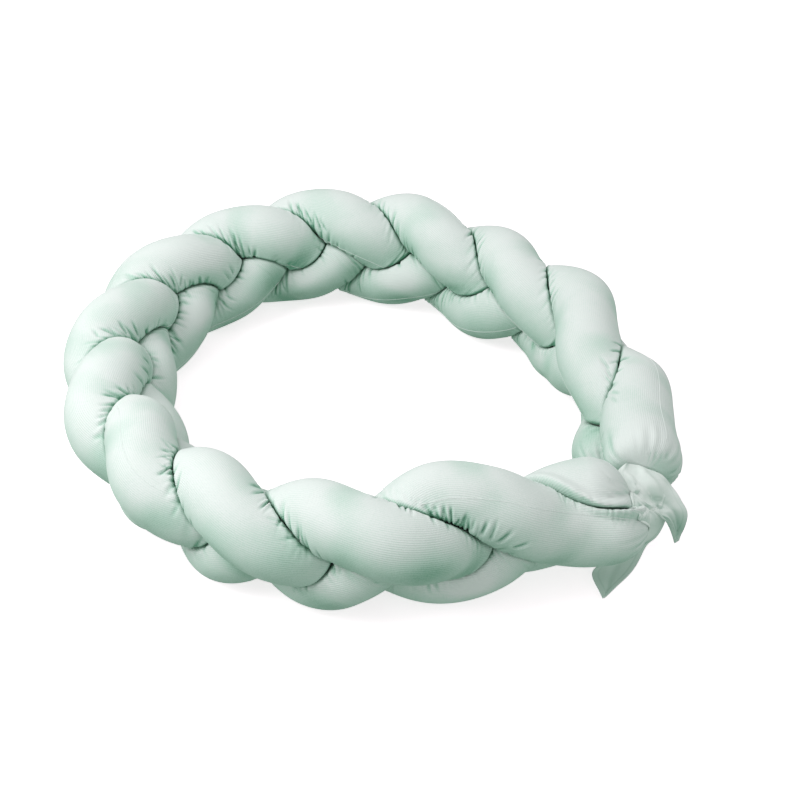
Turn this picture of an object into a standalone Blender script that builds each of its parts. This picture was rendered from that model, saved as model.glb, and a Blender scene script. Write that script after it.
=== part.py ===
"""Crib bumper: three stuffed velour tubes in a flat plait, bent round into a ring that stands on its edge.

The two ends of the plait meet at the front right, where two broad cotton bands are knotted together and hang loose.
Metres, +Z up. The floor is at z = 0. Headings are counted from +X, and the plait runs clockwise seen from above.
"""

import bmesh
import bpy
import numpy as np
from mathutils import Matrix, Vector, kdtree
from mathutils.bvhtree import BVHTree

MM = 0.001

# ------------------------------------------------------------------------------------------ the plait's middle line
MIDDLE_LINE = (
    # heading in degrees, distance from the ring's middle in mm, swings that tube_a has made
    (-44, 412, 0.36),
    (-50, 377, 0.42),
    (-60, 345, 0.52),
    (-78, 332, 0.73),
    (-114, 318, 1.20),
    (-149, 318, 1.68),
    (-184, 327, 2.16),
    (-219, 340, 2.64),
    (-254, 345, 3.15),
    (-290, 316, 3.64),
    (-307, 300, 3.83),
    (-325, 298, 4.03),
    (-342, 303, 4.19),
    (-360, 314, 4.355),
    (-385, 368, 4.54),
)
LINE_SAMPLES = 900
RING_SHIFT = (-0.34, 2.30)       # mm along +X and +Y that bring the middle of the whole ring's box over the origin

# -------------------------------------------------------------------------------------------------- the plait itself
TUBES = ("tube_a", "tube_b", "tube_c")
TUBE_RADIUS = 43.0 * MM          # a stuffed tube where nothing presses on it
RISE = 45.0 * MM                 # how far a tube swings up and down about the middle line
SWAY = 18.5 * MM                 # how far it swings in and out, twice as often
PULLS = (
    # tube, heading in degrees, mm pulled up, mm pulled out: where hands have left the plait uneven
    ("tube_b", -78, 25, -10),
    ("tube_a", -74, 0, -13),
    ("tube_c", -82, 18, 0),
    ("tube_c", -190, 0, 8),
    ("tube_a", -212, 4, 12),
    ("tube_b", -234, 2, 10),
    ("tube_a", -258, 5, 0),
    ("tube_b", -285, 6, 0),
    ("tube_b", -341, 0, 15),
    ("tube_a", -334, 9, 0),
    ("tube_c", -355, 0, 12),
)
PULL_SPREAD = 16.0               # degrees of heading over which a pull fades
LEAN = (12.7, -12.5, -5.8)       # degrees off plumb: the even part, the part along +X and the part along +Y

# ------------------------------------------------------------------------------------------------ the gathered ends
END_SEATS = (
    # end, tube, mm above the middle line, mm outside it, mm that the tube runs on past the line's end
    ("front", "tube_a", 35, -20, 9),
    ("front", "tube_b", 12, 12, 27),
    ("front", "tube_c", -26, -38, 18),
    ("back", "tube_a", -24, 29, 24),
    ("back", "tube_b", 26, 1, 63),
    ("back", "tube_c", -30, -30, 18),
)
END_BLEND = {"front": 0.08, "back": 0.05}    # share of the plait over which the swing dies away into the seats
END_CLOSE = 60.0 * MM            # length over which a tube rounds down to its gathered end
END_ROUND = 2.1                  # 2 would close as a ball, more is blunter
GATHER_RADIUS = 5.0 * MM         # the drawn-in button of a gathered end

# ------------------------------------------------------------------------------------------------------- tube skins
SKIN_GAP = 4.6 * MM              # space between two tubes that press on each other
CREASE = 10.0 * MM               # how softly a skin turns into the flat where it meets the next tube
FLOOR_SINK = 3.0 * MM            # how far the lowest skins are flattened by the floor
SECTIONS = 96                    # along a tube, between its two closes
CLOSE_SECTIONS = 5               # along each close
SIDES = 18                       # round a tube
HALVINGS = 14                    # of the search for the place where two skins meet

# --------------------------------------------------------------------------------------------------- the tie bands
TIES = {
    # Each band from its sewn end to its tip, a row for each section, in mm in the plait's own frame:
    # left edge across, along and up; right edge across, along and up; how far the cloth between them bows out.
    "tie_front": (
        (307, -257, 104, 311, -254, 103, 0),
        (304, -284, 117, 315, -264, 105, 2),
        (306, -297, 115, 326, -271, 99, 3),
        (319, -304, 108, 335, -275, 86, 5),
        (333, -294, 80, 340, -274, 68, 3),
        (332, -274, 50, 339, -267, 48, 1),
        (310, -274, 28, 339, -262, 30, 2),
        (285, -277, 14, 332, -271, 18, 3),
        (271, -286, 7, 318, -288, 10, 2),
        (275, -307, 4, 300, -305, 5, 1),
        (279, -324, 3, 283, -322, 3, 0),
    ),
    "tie_back": (
        (306, -224, 127, 340, -216, 114, 0),
        (294, -238, 121, 355, -222, 105, -3),
        (305, -262, 118, 367, -222, 89, -4),
        (315, -268, 111, 374, -227, 82, 3),
        (329, -268, 97, 381, -232, 72, 5),
        (342, -264, 85, 388, -236, 60, 4),
        (354, -258, 70, 388, -240, 45, 3),
        (368, -248, 41, 385, -241, 29, 1),
        (380, -236, 8, 386, -233, 10, 0),
    ),
}
TIE_THICK = 2.0 * MM
TIE_CLEAR = {"tie_front": 2.4 * MM, "tie_back": 1.7 * MM}    # from the middle of the cloth to the skins under it
TIE_ROWS = 42                    # along a band
TIE_COLUMNS = 8                  # across it
LAYS = 10                        # times that a band is eased and lifted off the skins


def smooth_through(knots, values, at):
    """A natural cubic through the values at the knots, read at the given places."""
    knots, values = np.asarray(knots, float), np.asarray(values, float)
    step = np.diff(knots)
    count = len(knots)
    bends, pull = np.eye(count), np.zeros(count)
    for i in range(1, count - 1):
        bends[i, i - 1:i + 2] = step[i - 1], 2 * (step[i - 1] + step[i]), step[i]
        pull[i] = 6 * ((values[i + 1] - values[i]) / step[i] - (values[i] - values[i - 1]) / step[i - 1])
    bend = np.linalg.solve(bends, pull)
    i = np.clip(np.searchsorted(knots, at, side="right") - 1, 0, count - 2)
    ahead, behind = knots[i + 1] - at, at - knots[i]
    return ((bend[i] * ahead ** 3 + bend[i + 1] * behind ** 3) / (6 * step[i])
            + (values[i] / step[i] - bend[i] * step[i] / 6) * ahead
            + (values[i + 1] / step[i] - bend[i + 1] * step[i] / 6) * behind)


def ease(x):
    """A smooth ramp from 0 to 1."""
    x = np.clip(x, 0, 1)
    return x * x * (3 - 2 * x)


def soft_min(a, b, width):
    """The smaller of two numbers, with the corner between them rounded off."""
    near = np.maximum(width - np.abs(a - b), 0) / width
    return np.minimum(a, b) - near * near * width / 4


def unit(vectors):
    """The rows of an array, each made one long."""
    return vectors / np.linalg.norm(vectors, axis=1, keepdims=True)


def even_steps(line, count, places=3):
    """A line read again at even steps of its own length, which its first columns, the places, give."""
    run = np.append(0, np.cumsum(np.linalg.norm(np.diff(line[:, :places], axis=0), axis=1)))
    at = np.linspace(0, run[-1], count)
    return np.stack([np.interp(at, run, line[:, k]) for k in range(line.shape[1])], 1), run[-1]


def middle_line():
    """The plait's middle line on the floor plan: places, outward directions, headings and swings, at even steps."""
    headings, distances, swings = np.transpose(MIDDLE_LINE)
    heading = np.linspace(headings[0], headings[-1], LINE_SAMPLES)
    far = smooth_through(-headings, distances * MM, -heading)
    swing = smooth_through(-headings, swings, -heading)
    turn = np.radians(heading)
    rows, _ = even_steps(np.stack([far * np.cos(turn), far * np.sin(turn), turn, swing], 1), LINE_SAMPLES, 2)
    along = unit(np.gradient(rows[:, :2], axis=0))
    return rows[:, :2], np.stack([-along[:, 1], along[:, 0]], 1), rows[:, 2], rows[:, 3]


def tube_line(tube):
    """The middle line of one tube from its front end to its back end, at even steps."""
    share = np.linspace(0, 1, LINE_SAMPLES)
    place, outward, heading, swing = middle_line()
    phase = 2 * np.pi * (swing - TUBES.index(tube) / len(TUBES))
    above = RISE * np.sin(phase)
    outside = SWAY * np.sin(2 * phase)
    for name, pulled_at, pull_up, pull_out in PULLS:
        fade = np.exp(-((np.degrees(heading) - pulled_at) / PULL_SPREAD) ** 2) * (name == tube)
        above += pull_up * MM * fade
        outside += pull_out * MM * fade
    reach = {}
    for end, name, seat_above, seat_outside, runs_on in END_SEATS:
        if name == tube:
            left = share if end == "front" else 1 - share
            settled = ease(1 - left / END_BLEND[end])
            above += settled * (seat_above * MM - above)
            outside += settled * (seat_outside * MM - outside)
            reach[end] = runs_on * MM
    even, along_x, along_y = np.radians(LEAN)
    lean = even + along_x * np.cos(heading) + along_y * np.sin(heading)
    height = RISE * np.cos(lean) + TUBE_RADIUS - FLOOR_SINK
    out = outside * np.cos(lean) + above * np.sin(lean)
    up = height + above * np.cos(lean) - outside * np.sin(lean)
    line = np.column_stack([place + outward * out[:, None], up])
    first, last = unit(line[[0, -1]] - line[[6, -7]])
    line = np.vstack([line[0] + first * reach["front"], line, line[-1] + last * reach["back"]])
    return even_steps(line, LINE_SAMPLES)


def stations(length):
    """Where a tube's sections stand along its line, and the share of the full radius that each has."""
    swell = np.sin(np.radians(90) * np.arange(1, CLOSE_SECTIONS + 1) / (CLOSE_SECTIONS + 1))
    close = END_CLOSE * (1 - np.cos(np.arcsin(swell)))
    at = np.concatenate([close, np.linspace(END_CLOSE, length - END_CLOSE, SECTIONS), length - close[::-1]])
    left = np.clip(np.minimum(at, length - at) / END_CLOSE, 0, 1)
    return at, (1 - (1 - left) ** END_ROUND) ** (1 / END_ROUND)


def neighbours(tube, lines):
    """Every place on the other tubes' middle lines, ready to be searched for the nearest."""
    points = np.vstack([line for name, line in lines.items() if name != tube])
    tree = kdtree.KDTree(len(points))
    for k, point in enumerate(points):
        tree.insert(point, k)
    tree.balance()
    return tree


def half_way(centre, toward, far, tree):
    """How far a skin may run from its middle line before it is as near to a neighbour's line."""
    low, high = 0.0, far
    if tree.find(centre + toward * high)[2] > high + SKIN_GAP:
        return high
    for _ in range(HALVINGS):
        middle = (low + high) / 2
        if tree.find(centre + toward * middle)[2] > middle + SKIN_GAP:
            low = middle
        else:
            high = middle
    return low


def tube_rings(tube, lines, lengths):
    """The rings of points round one tube, pressed flat against its neighbours and on the floor."""
    line, length = lines[tube], lengths[tube]
    at, share = stations(length)
    run = np.linspace(0, length, LINE_SAMPLES)
    centre = np.stack([np.interp(at, run, line[:, k]) for k in range(3)], 1)
    along = unit(np.gradient(line, axis=0))
    along = unit(np.stack([np.interp(at, run, along[:, k]) for k in range(3)], 1))
    outward = unit(np.cross([0, 0, 1], along))
    lift = np.cross(along, outward)
    tree = neighbours(tube, lines)
    rings = []
    for k in range(len(at)):
        radius = max(TUBE_RADIUS * share[k], GATHER_RADIUS)
        ring = []
        for turn in np.linspace(0, 2 * np.pi, SIDES, endpoint=False):
            toward = np.cos(turn) * outward[k] + np.sin(turn) * lift[k]
            free = half_way(centre[k], toward, radius + CREASE, tree)
            point = centre[k] + toward * soft_min(radius, free, CREASE)
            ring.append((point[0], point[1], max(point[2], 0.0)))
        rings.append(ring)
    return rings, centre[0], centre[-1]


def lofted(name, rings, first_pole, last_pole):
    """A closed mesh through the rings, drawn to a point at each end."""
    shape = bmesh.new()
    loops = [[shape.verts.new(point) for point in ring] for ring in rings]
    for near, far in zip(loops, loops[1:]):
        for k in range(len(near)):
            after = (k + 1) % len(near)
            shape.faces.new((near[k], near[after], far[after], far[k]))
    for loop, pole in ((loops[0], first_pole), (loops[-1], last_pole)):
        tip = shape.verts.new(pole)
        for k in range(len(loop)):
            shape.faces.new((loop[k], loop[(k + 1) % len(loop)], tip))
    bmesh.ops.recalc_face_normals(shape, faces=shape.faces)
    mesh = bpy.data.meshes.new(name)
    shape.to_mesh(mesh)
    shape.free()
    mesh.shade_smooth()
    return mesh


def band_places(rows):
    """A band's surface: its sections drawn through smoothly, each bowed out between its two edges."""
    rows = np.array(rows, float) * MM
    left, right, bow = rows[:, 0:3], rows[:, 3:6], rows[:, 6]
    run = np.append(0, np.cumsum(np.linalg.norm(np.diff((left + right) / 2, axis=0), axis=1)))
    at = np.linspace(0, run[-1], TIE_ROWS)
    left, right = (np.stack([smooth_through(run, side[:, k], at) for k in range(3)], 1) for side in (left, right))
    proud = unit(np.cross(right - left, np.gradient((left + right) / 2, axis=0)))
    proud *= smooth_through(run, bow, at)[:, None]
    across = np.linspace(0, 1, TIE_COLUMNS)[None, :, None]
    return left[:, None] + (right - left)[:, None] * across + proud[:, None] * 4 * across * (1 - across)


def laid_on(places, skins, clear):
    """The places eased out of the skins they lie on, until they are clear of them and of the floor."""
    for _ in range(LAYS):
        places[1:-1] = (places[:-2] + 2 * places[1:-1] + places[2:]) / 4
        for point in places.reshape(-1, 3):
            near, normal, _, _ = skins.find_nearest(point)
            rise = (Vector(point) - near).dot(normal)
            if rise < clear:
                point += np.array(normal) * (clear - rise)
            point[2] = max(point[2], TIE_THICK / 2)
    return places


def band(name, places):
    """A sheet through the places, with the thickness of its cloth."""
    sheet = bmesh.new()
    points = [[sheet.verts.new(point) for point in row] for row in places]
    for near, far in zip(points, points[1:]):
        for k in range(len(near) - 1):
            sheet.faces.new((near[k], far[k], far[k + 1], near[k + 1]))
    mesh = bpy.data.meshes.new(name)
    sheet.to_mesh(mesh)
    sheet.free()
    piece = bpy.data.objects.new(name, mesh)
    thicken = piece.modifiers.new("cloth", "SOLIDIFY")
    thicken.thickness = TIE_THICK
    thicken.offset = 0.0
    thicken.use_even_offset = False
    return piece


def skins_of(meshes):
    """The skins of some closed meshes as one surface that can be searched for the nearest place."""
    corners, faces = [], []
    for mesh in meshes:
        faces += [[corner + len(corners) for corner in face.vertices] for face in mesh.polygons]
        corners += [vertex.co.copy() for vertex in mesh.vertices]
    return BVHTree.FromPolygons(corners, faces)


def evaluated_mesh(piece):
    """The piece's mesh with its modifiers worked out."""
    depsgraph = bpy.context.evaluated_depsgraph_get()
    return bpy.data.meshes.new_from_object(piece.evaluated_get(depsgraph), depsgraph=depsgraph)


def finish(name, colour, roughness):
    """A cloth finish."""
    material = bpy.data.materials.new(name)
    material.use_nodes = True
    shader = material.node_tree.nodes["Principled BSDF"]
    shader.inputs["Base Color"].default_value = (*colour, 1.0)
    shader.inputs["Roughness"].default_value = roughness
    shader.inputs["Metallic"].default_value = 0.0
    return material


def main():
    """Build the bumper's pieces in a collection of their own."""
    for thing in list(bpy.data.objects):
        bpy.data.objects.remove(thing, do_unlink=True)
    bumper = bpy.data.collections.new("crib_bumper")
    bpy.context.scene.collection.children.link(bumper)
    measured = {tube: tube_line(tube) for tube in TUBES}
    lines = {tube: line for tube, (line, _) in measured.items()}
    lengths = {tube: length for tube, (_, length) in measured.items()}
    for tube in TUBES:
        piece = bpy.data.objects.new(tube, lofted(tube, *tube_rings(tube, lines, lengths)))
        piece.data.materials.append(finish(tube + "_velour", (0.68, 0.80, 0.74), 0.85))
        bumper.objects.link(piece)
    laid = [piece.data for piece in bumper.objects]
    for tie, rows in TIES.items():
        piece = band(tie, laid_on(band_places(rows), skins_of(laid), TIE_CLEAR[tie]))
        piece.data.materials.append(finish(tie + "_cotton", (0.46, 0.58, 0.53), 0.8))
        bumper.objects.link(piece)
        laid.append(evaluated_mesh(piece))
    for piece in bumper.objects:
        piece.data.transform(Matrix.Translation((RING_SHIFT[0] * MM, RING_SHIFT[1] * MM, 0)))


main()
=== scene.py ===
"""Crib bumper: the looks of three stuffed velour tubes plaited into a ring and tied with two cotton bands.

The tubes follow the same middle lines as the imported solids. Here they are lofted at a fine grain, with the
pleats that a bent and gathered tube throws up. The bands are thin hemmed sheets. Metres, +Z up, the floor at
z = 0.
"""

from __future__ import annotations

import logging
import math
from dataclasses import dataclass, field
from enum import Enum

import bpy
import numpy as np
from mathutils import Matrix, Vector
from mathutils.bvhtree import BVHTree


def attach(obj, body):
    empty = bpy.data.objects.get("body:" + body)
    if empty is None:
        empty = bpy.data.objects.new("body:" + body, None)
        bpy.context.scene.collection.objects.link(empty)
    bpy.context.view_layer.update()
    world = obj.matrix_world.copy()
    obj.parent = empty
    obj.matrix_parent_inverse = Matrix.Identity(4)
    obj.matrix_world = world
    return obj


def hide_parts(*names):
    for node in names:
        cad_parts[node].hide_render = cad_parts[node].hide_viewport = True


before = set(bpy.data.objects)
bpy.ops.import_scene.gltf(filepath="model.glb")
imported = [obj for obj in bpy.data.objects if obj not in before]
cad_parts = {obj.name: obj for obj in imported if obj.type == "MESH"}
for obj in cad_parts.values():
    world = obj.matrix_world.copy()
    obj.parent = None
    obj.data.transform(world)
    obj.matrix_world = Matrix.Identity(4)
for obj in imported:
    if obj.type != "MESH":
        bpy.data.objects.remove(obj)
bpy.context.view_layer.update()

log = logging.getLogger("crib_bumper")
MM = 0.001
BODY = "root"
RING_SHIFT = (-0.34 * MM, 2.30 * MM, 0.0)        # brings the middle of the ring's box over the origin


# ----------------------------------------------------------------------------------------------- numbers
def smooth_through(knots: np.ndarray, values: np.ndarray, at: np.ndarray) -> np.ndarray:
    """A natural cubic through some values.

    Args:
        knots: where the values stand, rising.
        values: the values.
        at: where to read the curve.

    Returns:
        The curve's values there.
    """
    knots, values = np.asarray(knots, float), np.asarray(values, float)
    step = np.diff(knots)
    count = len(knots)
    bends, pull = np.eye(count), np.zeros(count)
    for i in range(1, count - 1):
        bends[i, i - 1:i + 2] = step[i - 1], 2 * (step[i - 1] + step[i]), step[i]
        pull[i] = 6 * ((values[i + 1] - values[i]) / step[i] - (values[i] - values[i - 1]) / step[i - 1])
    bend = np.linalg.solve(bends, pull)
    i = np.clip(np.searchsorted(knots, at, side="right") - 1, 0, count - 2)
    ahead, behind = knots[i + 1] - at, at - knots[i]
    return ((bend[i] * ahead ** 3 + bend[i + 1] * behind ** 3) / (6 * step[i])
            + (values[i] / step[i] - bend[i] * step[i] / 6) * ahead
            + (values[i + 1] / step[i] - bend[i + 1] * step[i] / 6) * behind)


def ease(x: np.ndarray) -> np.ndarray:
    """A smooth ramp from 0 to 1."""
    x = np.clip(x, 0, 1)
    return x * x * (3 - 2 * x)


def soft_min(a: np.ndarray, b: np.ndarray, width: np.ndarray) -> np.ndarray:
    """The smaller of two numbers, with the corner between them rounded off over a width."""
    near = np.maximum(width - np.abs(a - b), 0) / width
    return np.minimum(a, b) - near * near * width / 4


def unit(vectors: np.ndarray) -> np.ndarray:
    """The last axis of an array, made one long."""
    return vectors / np.linalg.norm(vectors, axis=-1, keepdims=True)


def even_steps(line: np.ndarray, count: int, places: int = 3) -> tuple[np.ndarray, float]:
    """A line read again at even steps of its own length.

    Args:
        line: rows whose first columns are places, and the rest whatever goes with them.
        count: how many rows to read.
        places: how many columns are places.

    Returns:
        The new rows, and the line's length.
    """
    run = np.append(0, np.cumsum(np.linalg.norm(np.diff(line[:, :places], axis=0), axis=1)))
    at = np.linspace(0, run[-1], count)
    return np.stack([np.interp(at, run, line[:, k]) for k in range(line.shape[1])], 1), run[-1]


def crimp(x: np.ndarray) -> np.ndarray:
    """The section of one pleat: a trough one deep at 0, with a low ridge on each side of it."""
    return -(1 - 0.9 * x * x) * np.exp(-0.75 * x * x)


def round_from(turn: np.ndarray, way: np.ndarray | float) -> np.ndarray:
    """How far round each turn is from a way, in radians between minus and plus half a circle."""
    return (turn - way + np.pi) % (2 * np.pi) - np.pi


def fading(at: np.ndarray, turn: np.ndarray, spot: tuple, spread: tuple, radius: float) -> np.ndarray:
    """A share that is one at a spot of a tube's skin and fades away round it.

    Args:
        at: places along the tube, in metres.
        turn: turns round it, in radians.
        spot: the spot's mm along the tube and its turn in degrees.
        spread: the mm along and the mm round over which the share fades.
        radius: the tube's radius.

    Returns:
        The share, a row for each place and a column for each turn.
    """
    off_round = np.radians((np.degrees(turn) - spot[1] + 180) % 360 - 180)[None, :]
    off_round = off_round * radius / (spread[1] * MM)
    off_along = (at[:, None] - spot[0] * MM) / (spread[0] * MM)
    return np.exp(-off_along ** 2 - off_round ** 2)


def placed(name: str, mesh: bpy.types.Mesh) -> bpy.types.Object:
    """Puts a mesh in the scene as an object at the origin.

    Args:
        name: the object's name.
        mesh: its mesh.

    Returns:
        The object.
    """
    piece = bpy.data.objects.new(name, mesh)
    bpy.context.scene.collection.objects.link(piece)
    return piece


# ------------------------------------------------------------------------------------ shader expressions
class Wire:
    """A shader value that takes part in Python sums, each of which adds a Math node."""

    def __init__(self, paint: Paint, socket: bpy.types.NodeSocket) -> None:
        """Holds an output socket and the material it belongs to."""
        self.paint = paint
        self.socket = socket

    def _math(self, operation: str, *values: Wire | float) -> Wire:
        """One Math node on some values."""
        return self.paint.node("ShaderNodeMath", {"operation": operation}, dict(enumerate(values)))

    def __add__(self, other: Wire | float) -> Wire:
        """self + other."""
        return self._math("ADD", self, other)

    def __sub__(self, other: Wire | float) -> Wire:
        """self - other."""
        return self._math("SUBTRACT", self, other)

    def __rsub__(self, other: float) -> Wire:
        """other - self."""
        return self._math("SUBTRACT", other, self)

    def __mul__(self, other: Wire | float) -> Wire:
        """self * other."""
        return self._math("MULTIPLY", self, other)

    __radd__ = __add__
    __rmul__ = __mul__

    def wave(self) -> Wire:
        """The sine, moved to run from 0 to 1."""
        return self._math("SINE", self) * 0.5 + 0.5

    def kept(self) -> Wire:
        """The value kept between 0 and 1."""
        return self._math("MINIMUM", self._math("MAXIMUM", self, 0.0), 1.0)


class Paint:
    """A material's node tree, built with one method for any node."""

    def __init__(self, name: str) -> None:
        """Makes an empty material.

        Args:
            name: the material's name.
        """
        self.material = bpy.data.materials.new(name)
        self.material.use_nodes = True
        self.tree = self.material.node_tree
        self.tree.nodes.clear()

    def node(self, kind: str, settings: dict | None = None, inputs: dict | None = None,
             output: int | str = 0) -> Wire:
        """Adds a node.

        Args:
            kind: the node's type.
            settings: its properties, which are set first.
            inputs: its sockets' values or wires, by name or number.
            output: the output to hand back.

        Returns:
            The chosen output as a wire.
        """
        made = self.tree.nodes.new(kind)
        for name, value in (settings or {}).items():
            setattr(made, name, value)
        for name, value in (inputs or {}).items():
            if isinstance(value, Wire):
                self.tree.links.new(value.socket, made.inputs[name])
            else:
                made.inputs[name].default_value = value
        return Wire(self, made.outputs[output]) if made.outputs else Wire(self, None)

    def attribute(self, name: str) -> Wire:
        """A number that the mesh carries at its points."""
        return self.node("ShaderNodeAttribute", {"attribute_name": name}, output="Fac")

    def noise(self, place: Wire, scale: float, detail: float = 2.0) -> Wire:
        """Noise about 0.5 at a scale per metre."""
        inputs = {"Vector": place, "Scale": scale, "Detail": detail}
        return self.node("ShaderNodeTexNoise", None, inputs, "Fac")

    def skin_map(self, axis: str) -> Wire:
        """One axis of the piece's own UV map."""
        spot = self.node("ShaderNodeUVMap", {"uv_map": "skin"})
        return self.node("ShaderNodeSeparateXYZ", None, {"Vector": spot}, axis)

    def blend(self, share: Wire, low: tuple | Wire, high: tuple | Wire) -> Wire:
        """A colour between two, by a share. Sockets 6 and 7 of a colour mix hold its two colours."""
        return self.node("ShaderNodeMix", {"data_type": "RGBA"}, {0: share, 6: low, 7: high}, 2)

    def bump(self, height: Wire, distance: float, strength: float, below: Wire | None = None) -> Wire:
        """A normal from a height.

        Args:
            height: the height, from 0 to 1.
            distance: how far one stands out, in metres.
            strength: how much of it shows.
            below: the normal that it adds to.

        Returns:
            The normal.
        """
        inputs = {"Height": height, "Distance": distance, "Strength": strength}
        if below:
            inputs["Normal"] = below
        return self.node("ShaderNodeBump", None, inputs)

    def surface(self, inputs: dict) -> bpy.types.Material:
        """Ends the tree in a Principled shader with these inputs.

        Args:
            inputs: the shader's values or wires, by socket.

        Returns:
            The material.
        """
        shader = self.node("ShaderNodeBsdfPrincipled", None, inputs)
        self.node("ShaderNodeOutputMaterial", None, {"Surface": shader})
        return self.material


def shade(red: float, green: float, blue: float) -> tuple[float, float, float, float]:
    """A colour in linear light from its 0 to 255 values on a screen."""
    return (*(((c / 255 + 0.055) / 1.055) ** 2.4 for c in (red, green, blue)), 1.0)


# ---------------------------------------------------------------------------------------------- finishes
@dataclass(frozen=True)
class Velour:
    """Short-piled ribbed velour: pale where lit, with painted shade that turns it greener and darker."""

    name: str = "ribbed_velour"
    # pale is the unshaded colour; mint and deep are painted shade, blended in by the share of painted shade
    # on the mesh
    pale: tuple = shade(235, 240, 238)
    mint: tuple = shade(194, 221, 208)
    deep: tuple = shade(100, 165, 135)
    sheen: tuple = shade(240, 250, 245)
    ribs: int = 108                  # round the tube
    rib_height: float = 0.45 * MM
    pile_height: float = 0.25 * MM
    wander: float = 2.2              # how far a rib strays sideways, in radians of its own wave
    wander_scale: float = 22.0       # this and the next two: noise, per metre
    fuzz_scale: float = 760.0
    nap_scale: float = 26.0
    nap_share: float = 0.30          # how much the nap, the ribs and the fuzz each move the painted shade's blend
    rib_share: float = 0.15
    fuzz_share: float = 0.42

    def build(self) -> bpy.types.Material:
        """Builds the material on the tube's UV map: metres along, and turns round.

        Returns:
            The material.
        """
        paint = Paint(self.name)
        place = paint.node("ShaderNodeTexCoord", output="Object")
        stray = paint.noise(place, self.wander_scale) * self.wander
        rib = (paint.skin_map("Y") * (2 * math.pi * self.ribs) + stray).wave()
        fuzz = paint.noise(place, self.fuzz_scale, 3.0)
        nap = paint.noise(place, self.nap_scale, 4.0)
        # painted shade: the mesh's share of it, with the pile's nap, ribs and fuzz added, blends pale into
        # mint and deep
        painted_shade = paint.attribute("painted_shade") + (nap - 0.5) * self.nap_share
        painted_shade = (painted_shade + (0.5 - rib) * self.rib_share + (0.5 - fuzz) * self.fuzz_share).kept()
        colour = paint.blend((painted_shade * 2.0).kept(), self.pale, self.mint)
        colour = paint.blend((painted_shade * 2.0 - 1.0).kept(), colour, self.deep)
        ribbed = paint.bump(rib, self.rib_height, 0.5)
        piled = paint.bump(fuzz, self.pile_height, 0.5, ribbed)
        return paint.surface({
            "Base Color": colour,
            "Roughness": 0.88 - (1 - rib) * 0.06,
            "Normal": piled,
            "Sheen Weight": 0.3,
            "Sheen Roughness": 0.45,
            "Sheen Tint": self.sheen,
            "Specular IOR Level": 0.2,
        })


@dataclass(frozen=True)
class Cotton:
    """Smooth plain-woven cotton, greyer and darker than the velour."""

    name: str = "plain_cotton"
    pale: tuple = shade(244, 247, 245)
    mint: tuple = shade(228, 236, 232)
    # deep is painted shade, blended in where the cloth stands on edge and where it hangs; the hem's sewn line
    # and the slubs also darken towards it
    deep: tuple = shade(132, 170, 152)
    threads: float = 2600.0          # per metre, two to a wave
    weave_height: float = 0.15 * MM
    cloud_scale: float = 60.0        # this and the next: noise, per metre
    slub_scale: float = 900.0
    hem_share: float = 0.12          # how much the sewn line and the slubs each deepen the colour
    slub_share: float = 0.1
    painted_glow: float = 0.12      # a painted glow: the cloth gives off light of its own, in place of the light that comes through it from behind

    def build(self) -> bpy.types.Material:
        """Builds the material on the band's UV map, in metres across and along.

        Returns:
            The material.
        """
        paint = Paint(self.name)
        warp, weft = ((paint.skin_map(axis) * (math.pi * self.threads)).wave() for axis in ("X", "Y"))
        place = paint.node("ShaderNodeTexCoord", output="Object")
        weave = (warp + weft) * 0.5
        cloud = paint.noise(place, self.cloud_scale, 4.0)
        slub = paint.noise(place, self.slub_scale, 2.0)
        colour = paint.blend(((cloud - 0.5) * 1.6 + 0.5).kept(), self.mint, self.pale)
        worn = paint.attribute("hem") * self.hem_share + (1 - slub) * self.slub_share
        # painted shade: the turned share blends the colour towards deep
        colour = paint.blend((worn + paint.attribute("turned")).kept(), colour, self.deep)
        woven = paint.bump(weave * 0.5 + slub * 0.5, self.weave_height, 0.4)
        return paint.surface({
            "Base Color": colour,
            "Roughness": 0.78 + cloud * 0.1,
            "Normal": woven,
            # painted glow: the cloth's own colour given off as light
            "Emission Color": colour,
            "Emission Strength": self.painted_glow,
            "Sheen Weight": 0.12,
            "Sheen Roughness": 0.5,
            "Specular IOR Level": 0.3,
        })


@dataclass(frozen=True)
class Thread:
    """Sewing thread in the cloth's own colour."""

    name: str = "cotton_thread"
    colour: tuple = shade(196, 212, 204)
    paler: tuple = shade(225, 236, 230)
    twist_scale: float = 500.0       # per metre

    def build(self) -> bpy.types.Material:
        """Builds the material, a little paler on one strand than the next.

        Returns:
            The material.
        """
        paint = Paint(self.name)
        twist = paint.noise(paint.node("ShaderNodeTexCoord", output="Object"), self.twist_scale, 1.0)
        return paint.surface({
            "Base Color": paint.blend(twist, self.colour, self.paler),
            "Roughness": 0.7 + twist * 0.1,
            "Specular IOR Level": 0.3,
        })


@dataclass(frozen=True)
class StudioFloor:
    """A plain pale floor."""

    name: str = "studio_floor"
    pale: tuple = shade(252, 242, 247)
    glow: float = 0.69               # its own light, which keeps the shadows on it faint

    def build(self) -> bpy.types.Material:
        """Builds the material.

        Returns:
            The material.
        """
        return Paint(self.name).surface({
            "Base Color": self.pale,
            "Roughness": 0.95,
            "Specular IOR Level": 0.1,
            "Emission Color": self.pale,
            "Emission Strength": self.glow,
        })


# --------------------------------------------------------------------------------------------- the plait
class End(Enum):
    """The two ends of the plait."""

    FRONT = "front"
    BACK = "back"


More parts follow.
